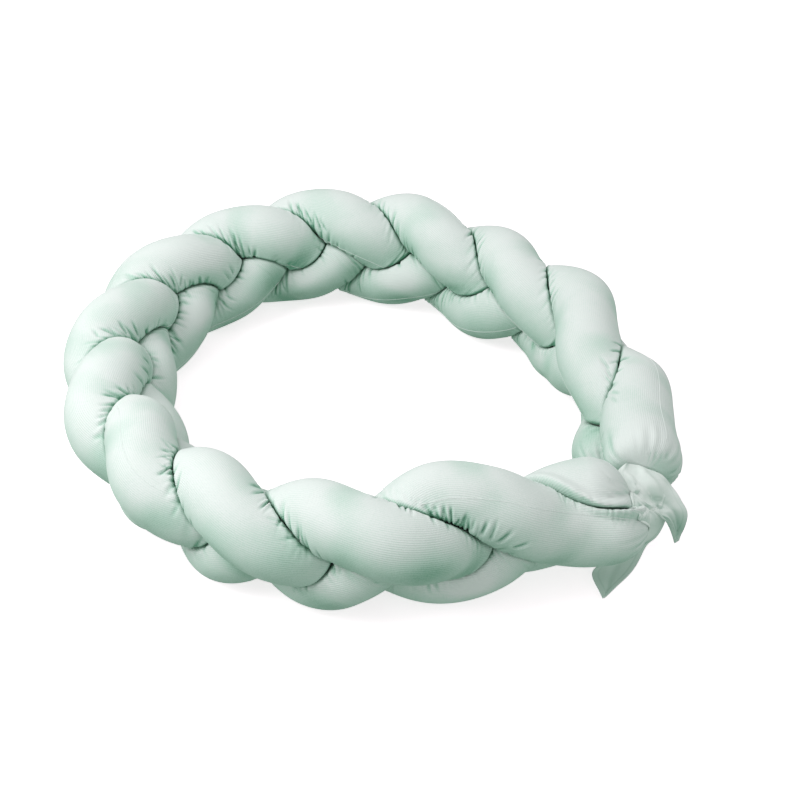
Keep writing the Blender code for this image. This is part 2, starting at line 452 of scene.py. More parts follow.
@dataclass(frozen=True)
class Plait:
    """The plait's middle line, and how three tubes swing about it."""

    middle: tuple = (
        # heading in degrees, distance from the ring's middle in mm, swings that tube_a has made
        (-44, 412, 0.36), (-50, 377, 0.42), (-60, 345, 0.52), (-78, 332, 0.73), (-114, 318, 1.20),
        (-149, 318, 1.68), (-184, 327, 2.16), (-219, 340, 2.64), (-254, 345, 3.15), (-290, 316, 3.64),
        (-307, 300, 3.83), (-325, 298, 4.03), (-342, 303, 4.19), (-360, 314, 4.355), (-385, 368, 4.54),
    )
    pulls: tuple = (
        # tube, heading in degrees, mm pulled up, mm pulled out
        ("tube_b", -78, 25, -10),
        ("tube_a", -74, 0, -13),
        ("tube_c", -82, 18, 0),
        ("tube_c", -190, 0, 8),
        ("tube_a", -212, 4, 12),
        ("tube_b", -234, 2, 10),
        ("tube_a", -258, 5, 0),
        ("tube_b", -285, 6, 0),
        ("tube_b", -341, 0, 15),
        ("tube_a", -334, 9, 0),
        ("tube_c", -355, 0, 12),
    )
    seats: tuple = (
        # end, tube, mm above the middle line, mm outside it, mm that the tube runs on past the line's end
        (End.FRONT, "tube_a", 35, -20, 9),
        (End.FRONT, "tube_b", 12, 12, 27),
        (End.FRONT, "tube_c", -26, -38, 18),
        (End.BACK, "tube_a", -24, 29, 24),
        (End.BACK, "tube_b", 26, 1, 63),
        (End.BACK, "tube_c", -30, -30, 18),
    )
    firms: tuple = (
        # tube, neighbour, mm along the tube, mm over which it fades, mm that it presses into that neighbour
        ("tube_a", "tube_b", 2235, 30, 3),
    )
    slacks: tuple = (
        # tube, mm along it, turn in degrees, mm along and mm round over which it fades, mm slimmer there
        ("tube_c", 1150, 200, 60, 40, 11),
        ("tube_a", 1290, 212, 60, 40, 13),
        ("tube_b", 1475, 218, 60, 40, 13),
        ("tube_c", 1665, 218, 60, 40, 8),
        ("tube_b", 1005, 178, 45, 40, 7),
        ("tube_b", 10, 78, 30, 35, 8),
    )
    tubes: tuple = ("tube_a", "tube_b", "tube_c")
    radius: float = 43.0 * MM        # a tube where nothing presses on it
    rise: float = 45.0 * MM          # how far a tube swings up and down about the middle line
    sway: float = 18.5 * MM          # how far it swings in and out, twice as often
    floor_sink: float = 3.0 * MM     # how far the lowest skins are flattened by the floor
    pull_spread: float = 16.0        # degrees of heading over which a pull fades
    lean: tuple = (12.7, -12.5, -5.8)    # degrees off plumb: the even part, the part along +X, along +Y
    blends: tuple = (0.08, 0.05)     # share of the plait over which its swing dies away at each end
    samples: int = 1200
    end_samples: int = 8             # the samples over which the way that an end runs on is read

    def middle_line(self) -> tuple[np.ndarray, np.ndarray, np.ndarray, np.ndarray]:
        """The middle line on the plan, at even steps.

        Returns:
            Its places, the directions that point outwards there, its headings in radians, and the swings that
            tube_a has made.
        """
        headings, distances, swings = np.transpose(self.middle)
        heading = np.linspace(headings[0], headings[-1], self.samples)
        far = smooth_through(-headings, distances * MM, -heading)
        swing = smooth_through(-headings, swings, -heading)
        turn = np.radians(heading)
        plan = np.stack([far * np.cos(turn), far * np.sin(turn), turn, swing], 1)
        rows, _ = even_steps(plan, self.samples, 2)
        along = unit(np.gradient(rows[:, :2], axis=0))
        return rows[:, :2], np.stack([-along[:, 1], along[:, 0]], 1), rows[:, 2], rows[:, 3]

    def firmness(self, tube: str, neighbour: str, at: np.ndarray) -> np.ndarray:
        """How much further than half way a tube presses into a neighbour, at places along it.

        Args:
            tube: the tube that presses.
            neighbour: the tube that it presses into.
            at: places along the first of them, in metres.

        Returns:
            How far at each place, in metres.
        """
        firm = np.zeros(len(at))
        for name, pressed, middle, spread, press in self.firms:
            if (name, pressed) == (tube, neighbour):
                firm += press * MM * np.exp(-((at - middle * MM) / (spread * MM)) ** 2)
        return firm

    def slackness(self, tube: str, at: np.ndarray, turn: np.ndarray) -> np.ndarray:
        """How much slimmer a tube is at places along and round it, where its filling has gone slack.

        Args:
            tube: the tube's name.
            at: places along it, in metres.
            turn: turns round it, in radians.

        Returns:
            The metres, with a row for each place and a column for each turn.
        """
        slack = np.zeros((len(at), len(turn)))
        for name, middle, way, spread_along, spread_round, slimmer in self.slacks:
            if name == tube:
                spread = (spread_along, spread_round)
                slack += slimmer * MM * fading(at, turn, (middle, way), spread, self.radius)
        return slack

    def tube_line(self, tube: str) -> tuple[np.ndarray, float]:
        """The middle line of one tube from its front end to its back end, at even steps.

        Args:
            tube: the tube's name.

        Returns:
            The line's places, and its length.
        """
        share = np.linspace(0, 1, self.samples)
        place, outward, heading, swing = self.middle_line()
        phase = 2 * np.pi * (swing - self.tubes.index(tube) / len(self.tubes))
        above = self.rise * np.sin(phase)
        outside = self.sway * np.sin(2 * phase)
        for name, pulled_at, pull_up, pull_out in self.pulls:
            fade = np.exp(-((np.degrees(heading) - pulled_at) / self.pull_spread) ** 2) * (name == tube)
            above += pull_up * MM * fade
            outside += pull_out * MM * fade
        reach = {}
        for end, name, seat_above, seat_outside, runs_on in self.seats:
            if name == tube:
                left, blend = (share, self.blends[0]) if end is End.FRONT else (1 - share, self.blends[1])
                settled = ease(1 - left / blend)
                above += settled * (seat_above * MM - above)
                outside += settled * (seat_outside * MM - outside)
                reach[end] = runs_on * MM
        even, along_x, along_y = np.radians(self.lean)
        lean = even + along_x * np.cos(heading) + along_y * np.sin(heading)
        height = self.rise * np.cos(lean) + self.radius - self.floor_sink
        out = outside * np.cos(lean) + above * np.sin(lean)
        up = height + above * np.cos(lean) - outside * np.sin(lean)
        line = np.column_stack([place + outward * out[:, None], up]) + RING_SHIFT
        first, last = unit(line[[0, -1]] - line[[self.end_samples, -1 - self.end_samples]])
        line = np.vstack([line[0] + first * reach[End.FRONT], line, line[-1] + last * reach[End.BACK]])
        return even_steps(line, self.samples)


@dataclass
class StuffedTube:
    """One stuffed tube: its skin, pressed against the others, with its pleats, gathers and tucks."""

    name: str
    plait: Plait
    seed: int
    tucks: tuple                     # the tube's own rows of the ring's tucks
    shade_spots: tuple                      # and of its spots of painted shade and painted light
    sections: int = 1500
    close_sections: int = 30         # how many of them stand in each closing end
    sides: int = 96
    skin_gap: float = 0.9 * MM       # between two skins that press on each other
    room_reach: float = 3.2          # how many radii away a neighbour is looked for
    crease: float = 5.0 * MM         # how wide the corner is rounded off where a skin meets a neighbour
    end_crease: float = 3.0 * MM     # how much softer it is at the front end
    nestle: float = 0.6 * MM         # how far the filling bulges towards a neighbour that it nearly meets
    end_nestle: float = 22.0 * MM    # the same at the front end, where the tubes are sewn together
    nestle_reach: float = 20.0 * MM  # from how far off it does so
    end_reach: float = 42.0 * MM     # how much further at the front end
    fill_reach: float = 30.0 * MM    # from how far off a firm tube fills up towards the one that it presses
    sewn_reach: float = 140.0 * MM   # how far from the front end the sewing is felt
    drawn_reach: float = 250.0 * MM  # how far from it the ends' own gathers smooth out the pleats
    drawn_share: float = 0.9         # and how much they do
    closes: tuple = (
        # tube, end, mm over which the end closes, how blunt it is, mm fuller than the rest
        ("tube_a", End.FRONT, 48, 1.6, 3),
        ("tube_b", End.FRONT, 48, 1.9, 1),
        ("tube_b", End.BACK, 44, 3.8, 4),
    )
    usual_close: tuple = (60, 2.1, 0)
    gather_radius: float = 4.0 * MM  # of the drawn-in end itself
    pleat_pitch: float = 5.6 * MM
    pleat_depth: float = 3.3 * MM
    pleat_ends: float = 30.0 * MM    # how much of each end has none
    pleat_steps: tuple = (0.45, 1.7)     # the least and the most of the pitch between two pleats
    pleat_shares: tuple = (0.15, 1.0)    # and of the depth
    pleat_widths: tuple = (1.6, 3.2)     # mm
    pleat_runs: tuple = (12, 52)         # mm over which a pleat fades away from the neighbour
    pleat_slant: float = 3.5             # how far a pleat strays along the tube, in mm per radian
    pleat_bend: float = 0.24             # the radius over that of the bend where pleats are deepest
    gathers: int = 17
    gather_depth: float = 2.4 * MM
    gather_stray: float = 0.35           # how far a gather may stand from its even place, of the pitch
    gather_shares: tuple = (0.3, 1.1)    # the least and the most of the depth
    gather_widths: tuple = (0.06, 0.13)  # radians
    gather_start: float = 6.0 * MM       # from the end, over which they set in
    gather_runs: tuple = (24, 62)        # mm from the end, where they run out
    gather_fade: float = 26.0 * MM       # the radius below which the gathers grow shallower
    gather_seed: int = 50                # added to the tube's own seed
    lump: float = 1.3 * MM
    lump_waves: tuple = (0.05, 0.16)     # metres along the tube
    lump_count: int = 14
    lump_seed: int = 90                  # added to the tube's own seed
    shade_reach: float = 12.0 * MM        # over which a neighbour that draws near deepens the painted shade
    sewn_shade_gap: float = 22.0 * MM         # how much nearer it has to be at the front end for that
    crease_shade_depth: float = 2.6 * MM         # how deep a crease has to be to take the full painted shade
    gather_shade_cut: float = 0.6             # how much less a gather counts as a crease in the painted shade
    sewn_shade_cut: float = 0.7               # how much less any crease counts in it at the front end
    shade_shares: tuple = (0.9, 0.45, 0.55)   # how far the underside, a neighbour and a crease each deepen the painted shade
    skin: np.ndarray = field(default=None, repr=False)

    def close_of(self, end: End) -> tuple:
        """How the tube closes at an end: over how many mm, how bluntly, and how many mm fuller."""
        own = (close for name, at_end, *close in self.closes if (name, at_end) == (self.name, end))
        return next(own, self.usual_close)

    def fullness(self, at: np.ndarray, length: float) -> np.ndarray:
        """The share of the full radius that the tube has at places along its length.

        Args:
            at: places along the tube.
            length: the tube's length.

        Returns:
            The share at each place.
        """
        share = np.ones(len(at))
        for left, end in ((at, End.FRONT), (length - at, End.BACK)):
            close, blunt, fuller = self.close_of(end)
            share *= (1 - (1 - np.clip(left / (close * MM), 0, 1)) ** blunt) ** (1 / blunt)
            share *= 1 + fuller * MM / self.plait.radius * ease(1.5 - left / (2 * close * MM))
        return share

    def stations(self, length: float) -> np.ndarray:
        """Where the sections stand along the line.

        Args:
            length: the tube's length.

        Returns:
            Places along it, which draw together towards its tips.
        """
        swell = np.sin(np.radians(90) * np.arange(1, self.close_sections + 1) / (self.close_sections + 1))
        swell = 1 - np.cos(np.arcsin(swell))
        front, back = (self.close_of(end)[0] * MM for end in End)
        body = np.linspace(front, length - back, self.sections - 2 * self.close_sections)
        return np.concatenate([swell * front, body, length - swell[::-1] * back])

    def room(self, centre: np.ndarray, toward: np.ndarray, other: np.ndarray, firm: np.ndarray) -> np.ndarray:
        """How far each skin point may stand from the middle line before it meets a neighbour's skin.

        Args:
            centre: the sections' middles.
            toward: the directions of the skin's points.
            other: places along the neighbour's middle line, and how far it presses into this tube there.
            firm: how far this tube presses into that neighbour at each section.

        Returns:
            The distances.
        """
        reach = self.room_reach * self.plait.radius
        free = np.full(toward.shape[:2], reach)
        for k in range(len(centre)):
            away = other[:, :3] - centre[k]
            close = np.einsum("ij,ij->i", away, away) < reach ** 2
            away, gap = away[close], self.skin_gap + 2 * (other[close, 3] - firm[k])
            if len(away):
                facing = gap + toward[k] @ away.T
                far = (np.einsum("ij,ij->i", away, away) - gap ** 2) / (2 * np.maximum(facing, 1e-6))
                free[k] = np.minimum(far.min(1), reach)
        return free

    def pleats(self, at: np.ndarray, turn: np.ndarray, bend: np.ndarray, inner: np.ndarray,
               spare: np.ndarray) -> np.ndarray:
        """The short pleats that the inside of a bend throws up where it meets a neighbour.

        Args:
            at: where the sections stand.
            turn: the turns of the points round a section.
            bend: how sharply the line bends at each section, against the tube's radius.
            inner: the turn that faces the inside of the bend at each section.
            spare: how far each point is from being pressed by a neighbour.

        Returns:
            How far each point stands out.
        """
        draw = np.random.default_rng(self.seed)
        stand = np.zeros((len(at), len(turn)))
        place = self.pleat_ends
        while place < at[-1] - self.pleat_ends:
            place += self.pleat_pitch * draw.uniform(*self.pleat_steps)
            width = draw.uniform(*self.pleat_widths) * MM
            depth = self.pleat_depth * draw.uniform(*self.pleat_shares)
            depth = depth * (0.4 + 0.6 * ease(np.interp(place, at, bend) / self.pleat_bend))
            reach = draw.uniform(*self.pleat_runs) * MM
            slant = draw.normal(0, self.pleat_slant) * MM
            rows = np.abs(at - place) < 4 * width + 2 * abs(slant)
            round_it = round_from(turn[None, :], np.interp(place, at, inner))
            fade = ease(1.15 - spare[rows] / reach) * (0.3 + 0.7 * ease((np.cos(round_it) + 0.6) / 0.9))
            stand[rows] += depth * crimp((at[rows, None] - place - slant * round_it) / width) * fade
        return stand

    def gathered(self, at: np.ndarray, turn: np.ndarray) -> np.ndarray:
        """The lengthwise pleats that run into the drawn-in ends.

        Args:
            at: where the sections stand.
            turn: the turns of the points round a section.

        Returns:
            How far each point stands out.
        """
        draw = np.random.default_rng(self.seed + self.gather_seed)
        stand = np.zeros((len(at), len(turn)))
        for left in (at, at[-1] - at):
            for k in range(self.gathers):
                middle = 2 * np.pi * (k + draw.uniform(-self.gather_stray, self.gather_stray)) / self.gathers
                width = draw.uniform(*self.gather_widths)
                reach = draw.uniform(*self.gather_runs) * MM
                fade = ease(left / self.gather_start) * ease(1.4 * (1 - left / reach))
                deep = self.gather_depth * draw.uniform(*self.gather_shares) * fade
                stand += deep[:, None] * crimp(round_from(turn[None, :], middle) / width)
        return stand

    def lumps(self, at: np.ndarray, turn: np.ndarray) -> np.ndarray:
        """The slow unevenness of the filling.

        Args:
            at: where the sections stand.
            turn: the turns of the points round a section.

        Returns:
            How far each point stands out.
        """
        draw = np.random.default_rng(self.seed + self.lump_seed)
        stand = np.zeros((len(at), len(turn)))
        for _ in range(self.lump_count):
            wavelength = draw.uniform(*self.lump_waves)
            rounds = draw.integers(0, 4)
            along, around = draw.uniform(0, 2 * np.pi, 2)
            stand += np.sin(2 * np.pi * at / wavelength + along)[:, None] * np.cos(rounds * turn + around)
        return self.lump * stand / 4

    def tucked(self, at: np.ndarray, turn: np.ndarray) -> np.ndarray:
        """The listed tucks, each a straight run of the cloth that is deepest where it starts.

        Args:
            at: where the sections stand.
            turn: the turns of the points round a section.

        Returns:
            How far each point stands out.
        """
        stand = np.zeros((len(at), len(turn)))
        for start_at, start_turn, end_at, end_turn, deep, wide in self.tucks:
            round_it = (np.degrees(turn) - start_turn + 180) % 360 - 180
            run_round = (end_turn - start_turn + 180) % 360 - 180
            run = np.array([(end_at - start_at) * MM, np.radians(run_round) * self.plait.radius])
            rows = np.abs(at - start_at * MM) < np.abs(run[0]) + 5 * wide * MM
            off_at = (at[rows] - start_at * MM)[:, None]
            off_round = (np.radians(round_it) * self.plait.radius)[None, :]
            share = np.clip((off_at * run[0] + off_round * run[1]) / (run @ run), -0.2, 1)
            off = np.hypot(off_at - share * run[0], off_round - share * run[1])
            stand[rows] += deep * MM * crimp(off / (wide * MM)) * ease(1.3 * (1 - share))
        return stand

    def build(self) -> bpy.types.Object:
        """Lofts the tube.

        Returns:
            The piece, with its UV map and its attribute of painted shade.
        """
        line, length = self.plait.tube_line(self.name)
        at = self.stations(length)
        share = self.fullness(at, length)
        run = np.linspace(0, length, len(line))
        along = unit(np.gradient(line, axis=0))
        curl = np.gradient(along, run, axis=0) * self.plait.radius
        along, centre, curl = (np.stack([np.interp(at, run, row[:, k]) for k in range(3)], 1)
                               for row in (along, line, curl))
        outward = unit(np.cross([0, 0, 1], along))
        lift = np.cross(unit(along), outward)
        turn = np.linspace(0, 2 * np.pi, self.sides, endpoint=False)
        toward = np.cos(turn)[None, :, None] * outward[:, None] + np.sin(turn)[None, :, None] * lift[:, None]
        radius = np.maximum(self.plait.radius * share, self.gather_radius)[:, None]
        radius = radius - self.plait.slackness(self.name, at, turn)
        free, fill = np.full(toward.shape[:2], np.inf), np.zeros(toward.shape[:2])
        for neighbour in self.plait.tubes:
            if neighbour != self.name:
                other, other_length = self.plait.tube_line(neighbour)
                pressed = self.plait.firmness(neighbour, self.name, np.linspace(0, other_length, len(other)))
                firm = self.plait.firmness(self.name, neighbour, at)
                left = self.room(centre, toward, np.column_stack([other, pressed]), firm)
                fill = np.maximum(fill, firm[:, None] * ease(1 - (left - radius) / self.fill_reach))
                free = np.minimum(free, left)
        spare = free - radius
        inner = np.unwrap(np.arctan2((curl * lift).sum(1), (curl * outward).sum(1)))
        sewn = ease(1 - at / self.sewn_reach)[:, None]
        drawn = ease(1 - at / self.drawn_reach)[:, None]
        stand = self.pleats(at, turn, np.linalg.norm(curl, axis=1), inner, spare)
        stand = stand * (1 - self.drawn_share * drawn)
        stand += self.lumps(at, turn) + self.tucked(at, turn)
        gathers = self.gathered(at, turn) * np.minimum(radius / self.gather_fade, 1)
        stand = stand * ease(radius / self.plait.radius) + gathers
        swell = self.nestle + (self.end_nestle - self.nestle) * sewn
        swell = fill + swell * ease(1 - spare / (self.nestle_reach + self.end_reach * sewn))
        crease = self.crease + self.end_crease * sewn
        full = soft_min(radius + swell + np.maximum(stand, 0), free, crease) + np.minimum(stand, 0)
        self.skin = centre[:, None] + toward * full[:, :, None]
        self.skin[:, :, 2] = np.maximum(self.skin[:, :, 2], 0)
        # painted shade: darker and greener on the underside, near a neighbour and in creases, less at the
        # sewn front end, with the painted spots added
        creased = (stand - self.gather_shade_cut * gathers) * (1 - self.sewn_shade_cut * sewn)
        painted_shade = self.painted_shading(spare + self.sewn_shade_gap * sewn, creased) + self.spot_shading(at, turn)
        return self.loft(at, centre, painted_shade)

    def painted_shading(self, spare: np.ndarray, stand: np.ndarray) -> np.ndarray:
        """Painted shade: deeper on the underside, against a neighbour and in a crease.

        Args:
            spare: how far each point is from being pressed by a neighbour.
            stand: how far it stands out of a smooth skin.

        Returns:
            A share at each point, which is one where the painted shade is deepest.
        """
        around = np.roll(self.skin, -1, axis=1) - np.roll(self.skin, 1, axis=1)
        facing = unit(np.cross(around, np.gradient(self.skin, axis=0)) + 1e-15)
        under = np.clip(0.5 - 0.55 * facing[:, :, 2], 0, 1)
        pressed = ease(0.5 - spare / self.shade_reach)
        crease_shade = np.clip(-stand / self.crease_shade_depth, 0, 1)
        below, beside, creased = self.shade_shares
        return np.clip(below * under ** 1.3 + beside * pressed + creased * crease_shade, 0, 1)

    def spot_shading(self, at: np.ndarray, turn: np.ndarray) -> np.ndarray:
        """How much darker or lighter the listed spots are painted: painted shade and painted light.

        Args:
            at: where the sections stand.
            turn: the turns of the points round a section.

        Returns:
            The change at each point.
        """
        change = np.zeros((len(at), len(turn)))
        for spot_at, spot_turn, spread, closed in self.shade_spots:
            spot, spreads = (spot_at, spot_turn), (spread, spread)
            change += closed * fading(at, turn, spot, spreads, self.plait.radius)
        return change

    def loft(self, at: np.ndarray, centre: np.ndarray, painted_shade: np.ndarray) -> bpy.types.Object:
        """The closed mesh through the skin's sections, with a fan at each end.

        Args:
            at: where the sections stand.
            centre: the sections' middles.
            painted_shade: the share of painted shade at each point.

        Returns:
            The piece.
        """
        rows, sides = self.skin.shape[:2]
        corner = np.arange(rows * sides).reshape(rows, sides)
        after = np.roll(corner, -1, axis=1)
        quads = np.stack([corner[:-1], after[:-1], after[1:], corner[1:]], -1).reshape(-1, 4)
        first, last = rows * sides, rows * sides + 1
        fans = [(after[0, k], corner[0, k], first) for k in range(sides)]
        fans += [(corner[-1, k], after[-1, k], last) for k in range(sides)]
        mesh = bpy.data.meshes.new(self.name + "_skin")
        points = np.vstack([self.skin.reshape(-1, 3), centre[:1], centre[-1:]])
        mesh.from_pydata(points.tolist(), [], quads.tolist() + fans)
        side = np.arange(sides)
        skin_map = mesh.uv_layers.new(name="skin")
        here, there = np.repeat(at[:-1], sides), np.repeat(at[1:], sides)
        left, right = np.tile(side, rows - 1) / sides, np.tile(side + 1, rows - 1) / sides
        strip = np.stack([here, left, here, right, there, right, there, left], -1)
        ends = [(at[0], (k + share) / sides) for k in range(sides) for share in (1, 0, 0.5)]
        ends += [(at[-1], (k + share) / sides) for k in range(sides) for share in (0, 1, 0.5)]
        skin_map.data.foreach_set("uv", np.append(strip.ravel(), np.ravel(ends)))
        # the mesh carries the painted shade as a point attribute
        closed = mesh.attributes.new("painted_shade", "FLOAT", "POINT")
        closed.data.foreach_set("value", np.append(painted_shade.ravel(), (1.0, 1.0)))
        mesh.shade_smooth()
        return placed(self.name + "_velour", mesh)

    def seam_path(self, seam: tuple) -> np.ndarray:
        """The line along the skin where the tube is sewn up, clear of its two gathered ends.

        Args:
            seam: rows of mm along the tube and of the turn in degrees at which the seam stands there.

        Returns:
            Places along the seam.
        """
        _, length = self.plait.tube_line(self.name)
        at = self.stations(length)
        seam_at, seam_turn = np.transpose(seam)
        keep = slice(self.close_sections // 2, -self.close_sections // 2, 3)
        turn = np.interp(at[keep], seam_at * MM, seam_turn) / 360 * self.sides
        rows = np.arange(len(at))[keep]
        low = np.floor(turn).astype(int)
        share = (turn - low)[:, None]
        before, after = self.skin[rows, low % self.sides], self.skin[rows, (low + 1) % self.sides]
        return before * (1 - share) + after * share


# ---------------------------------------------------------------------------------------------- the ties
@dataclass
class TieBand:
    """One broad cotton band: a hemmed sheet drawn through a few sections, folded, and laid on the tubes."""

    name: str
    sections: tuple                  # mm: left edge across, along, up; right edge across, along, up; bow
    folds: tuple                     # share across and along of a fold's start and of its end; mm high, wide
    clear: float                     # how far its middle stays off the skins
    hanging_shade: float = 0.0             # how much painted shade deepens the colour of the hanging part
    hangs_from: tuple = (0.45, 0.25)     # the share along where that painted shade starts, and over which it deepens
    rows: int = 150
    columns: int = 48
    thick: float = 1.0 * MM
    hem: float = 7.0 * MM
    hem_height: float = 0.3 * MM
    hem_step: float = 1.2 * MM       # over which the hem's height falls away
    seam_width: float = 0.9 * MM
    seam_depth: float = 0.2 * MM
    stitch_lift: float = 0.1 * MM    # how far off the cloth the middle of the hem's stitches stands
    eases: int = 10
    search: int = 12                 # how many times its clearance away a skin is looked for
    places: np.ndarray = field(default=None, repr=False)

    def surface(self) -> np.ndarray:
        """The band's middle surface, before its folds.

        Returns:
            A row of places for each step along, from the left edge to the right.
        """
        table = np.array(self.sections, float) * MM
        left, right, bow = table[:, 0:3], table[:, 3:6], table[:, 6]
        run = np.append(0, np.cumsum(np.linalg.norm(np.diff((left + right) / 2, axis=0), axis=1)))
        at = np.linspace(0, run[-1], self.rows)
        left, right = (np.stack([smooth_through(run, side[:, k], at) for k in range(3)], 1)
                       for side in (left, right))
        proud = unit(np.cross(right - left, np.gradient((left + right) / 2, axis=0)))
        proud *= smooth_through(run, bow, at)[:, None]
        across = np.linspace(0, 1, self.columns)[None, :, None]
        bowed = left[:, None] + (right - left)[:, None] * across + proud[:, None] * 4 * across * (1 - across)
        return bowed + RING_SHIFT

    def normals(self, places: np.ndarray) -> np.ndarray:
        """The direction in which the band faces at each place."""
        return unit(np.cross(np.gradient(places, axis=1), np.gradient(places, axis=0)) + 1e-12)

    def folded(self, places: np.ndarray) -> np.ndarray:
        """The places moved by the folds, each a soft ridge or trough along a straight run of the cloth.

        Args:
            places: the band's places.

        Returns:
            The moved places.
        """
        across, along = np.meshgrid(np.linspace(0, 1, self.columns), np.linspace(0, 1, self.rows))
        spot = np.stack([across, along], -1)
        size = np.array([np.linalg.norm(places[:, -1] - places[:, 0], axis=1).mean(),
                         np.linalg.norm(np.diff(places[:, self.columns // 2], axis=0), axis=1).sum()])
        stand = np.zeros(across.shape)
        for start_across, start_along, end_across, end_along, high, wide in self.folds:
            start, end = np.array([start_across, start_along]), np.array([end_across, end_along])
            run = (end - start) * size
            share = np.clip(((spot - start) * size @ run) / (run @ run), 0, 1)
            off = np.linalg.norm((spot - start) * size - share[..., None] * run, axis=-1)
            stand += high * MM * np.exp(-(off / (wide * MM)) ** 2)
        return places + self.normals(places) * stand[..., None]

    def laid_on(self, places: np.ndarray, skins: BVHTree) -> np.ndarray:
        """The places eased out of the skins under them, until they are clear of them and of the floor.

        Args:
            places: the band's places.
            skins: the skins under them.

        Returns:
            The eased places.
        """
        for _ in range(self.eases):
            places[1:-1] = (places[:-2] + 2 * places[1:-1] + places[2:]) / 4
            for point in places.reshape(-1, 3):
                near, normal, _, _ = skins.find_nearest(point, self.clear * self.search)
                if near is None:
                    continue
                rise = (Vector(point) - near).dot(normal)
                if rise < self.clear:
                    point += np.array(normal) * (self.clear - rise)
            places[:, :, 2] = np.maximum(places[:, :, 2], self.thick)
        return places

    def build(self, skins: BVHTree) -> bpy.types.Object:
        """Builds the band as a closed thin sheet.

        Args:
            skins: the skins that it lies on.

        Returns:
            The piece, with its UV map and its attributes.
        """
        places = self.laid_on(self.folded(self.surface()), skins)
        facing = self.normals(places)
        step_across = np.linalg.norm(np.diff(places, axis=1), axis=2)
        from_left = np.cumsum(np.pad(step_across, ((0, 0), (1, 0))), axis=1)
        step_along = np.linalg.norm(np.diff(places, axis=0), axis=2)
        from_start = np.cumsum(np.pad(step_along, ((1, 0), (0, 0))), axis=0)
        to_side = np.minimum(from_left, from_left[:, -1:] - from_left)
        to_edge = np.minimum(to_side, from_start[-1:] - from_start)
        hem = ease((self.hem - to_edge) / self.hem_step + 0.5)
        seam = np.exp(-((to_edge - self.hem) / self.seam_width) ** 2)
        half = self.thick / 2 + self.hem_height * hem - self.seam_depth * seam
        self.places = places + facing * (half[..., None] + self.stitch_lift)
        mesh = self.closed(places + facing * half[..., None], places - facing * half[..., None])
        flat = np.stack([from_left, from_start], -1)
        # painted shade: cloth that stands on edge is painted deeper in colour than cloth that lies flat, the
        # hanging part deeper still
        turned = np.clip(0.55 - 0.8 * np.abs(facing[:, :, 2]), 0, 1)
        start, over = self.hangs_from
        turned += self.hanging_shade * ease((np.linspace(0, 1, self.rows)[:, None] - start) / over)
        self.dress(mesh, flat, {"hem": seam, "turned": turned})
        return placed(self.name + "_cotton", mesh)

    def closed(self, top: np.ndarray, under: np.ndarray) -> bpy.types.Mesh:
        """The sheet's two faces and the rim between them.

        Args:
            top: the places of the face that looks outwards.
            under: those of the other face.

        Returns:
            The mesh.
        """
        rows, columns = top.shape[:2]
        upper = np.arange(rows * columns).reshape(rows, columns)
        lower = upper + rows * columns
        faces = []
        for grid, flip in ((upper, False), (lower, True)):
            quads = np.stack([grid[:-1, :-1], grid[:-1, 1:], grid[1:, 1:], grid[1:, :-1]], -1).reshape(-1, 4)
            faces += (quads[:, ::-1] if flip else quads).tolist()
        loop = np.concatenate([upper[0, :-1], upper[:-1, -1], upper[-1, :0:-1], upper[:0:-1, 0]])
        after = np.roll(loop, -1)
        below = rows * columns
        faces += np.stack([after, loop, loop + below, after + below], -1).tolist()
        mesh = bpy.data.meshes.new(self.name + "_sheet")
        mesh.from_pydata(np.vstack([top.reshape(-1, 3), under.reshape(-1, 3)]).tolist(), [], faces)
        mesh.shade_smooth()
        return mesh

    def dress(self, mesh: bpy.types.Mesh, flat: np.ndarray, shares: dict[str, np.ndarray]) -> None:
        """Gives the sheet its UV map, in metres across and along, and the shares that its cotton reads.

        Args:
            mesh: the sheet.
            flat: metres across and along at each place.
            shares: the shares at each place, by name.
        """
        spots = np.vstack([flat.reshape(-1, 2)] * 2)
        corners = np.zeros(len(mesh.loops), dtype=int)
        mesh.loops.foreach_get("vertex_index", corners)
        mesh.uv_layers.new(name="skin").data.foreach_set("uv", spots[corners].ravel())
        for name, share in shares.items():
            mesh.attributes.new(name, "FLOAT", "POINT").data.foreach_set("value", np.tile(share.ravel(), 2))

    def hem_line(self) -> np.ndarray:
        """The line on the upper face along which the hem is sewn: down one edge, and back up the other.

        Returns:
            Places along the line.
        """
        places = self.places
        across = np.linalg.norm(np.diff(places, axis=1), axis=2)
        run = np.cumsum(np.pad(across, ((0, 0), (1, 0))), axis=1)
        sides = []
        for flip in (False, True):
            side = []
            for row in range(len(places)):
                if run[row, -1] > 3 * self.hem:
                    at = run[row, -1] - self.hem if flip else self.hem
                    side.append([np.interp(at, run[row], places[row, :, k]) for k in range(3)])
            sides.append(np.array(side))
        return np.vstack([sides[0], sides[1][::-1]])


